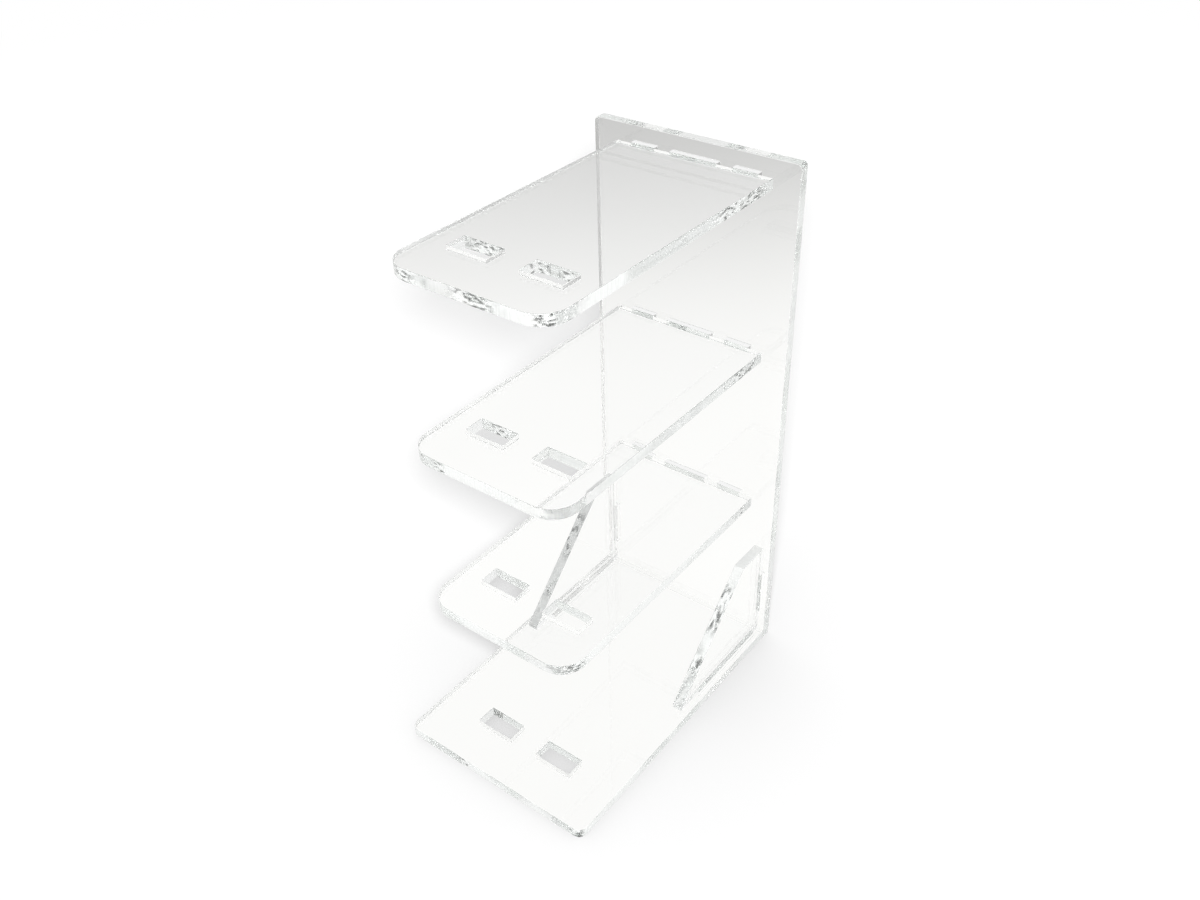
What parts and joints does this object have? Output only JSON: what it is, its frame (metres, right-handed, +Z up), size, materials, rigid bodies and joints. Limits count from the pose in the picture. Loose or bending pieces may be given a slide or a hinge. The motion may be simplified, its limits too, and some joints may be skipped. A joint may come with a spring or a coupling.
{
  "type": "tiered shelf riser",
  "caption": "Clear upright display riser: a base and cantilevered shelves tabbed into a tall back panel, braced by gussets, with slots near each front edge.",
  "frame": {"origin": "middle of the footprint, on the surface the riser stands on", "axes": "+X to the riser's right as seen from its front, +Y from front to back, +Z up"},
  "size_m": [0.1, 0.155, 0.25],
  "materials": {
    "clear_acrylic": "clear cast acrylic sheet, polished faces, glossy laser-cut edges"
  },
  "bodies": {
    "root": {"back_panel": "clear_acrylic", "base_panel": "clear_acrylic", "lower_shelf": "clear_acrylic", "middle_shelf": "clear_acrylic", "top_shelf": "clear_acrylic", "left_gusset": "clear_acrylic", "right_gusset": "clear_acrylic"}
  },
  "joints": []
}
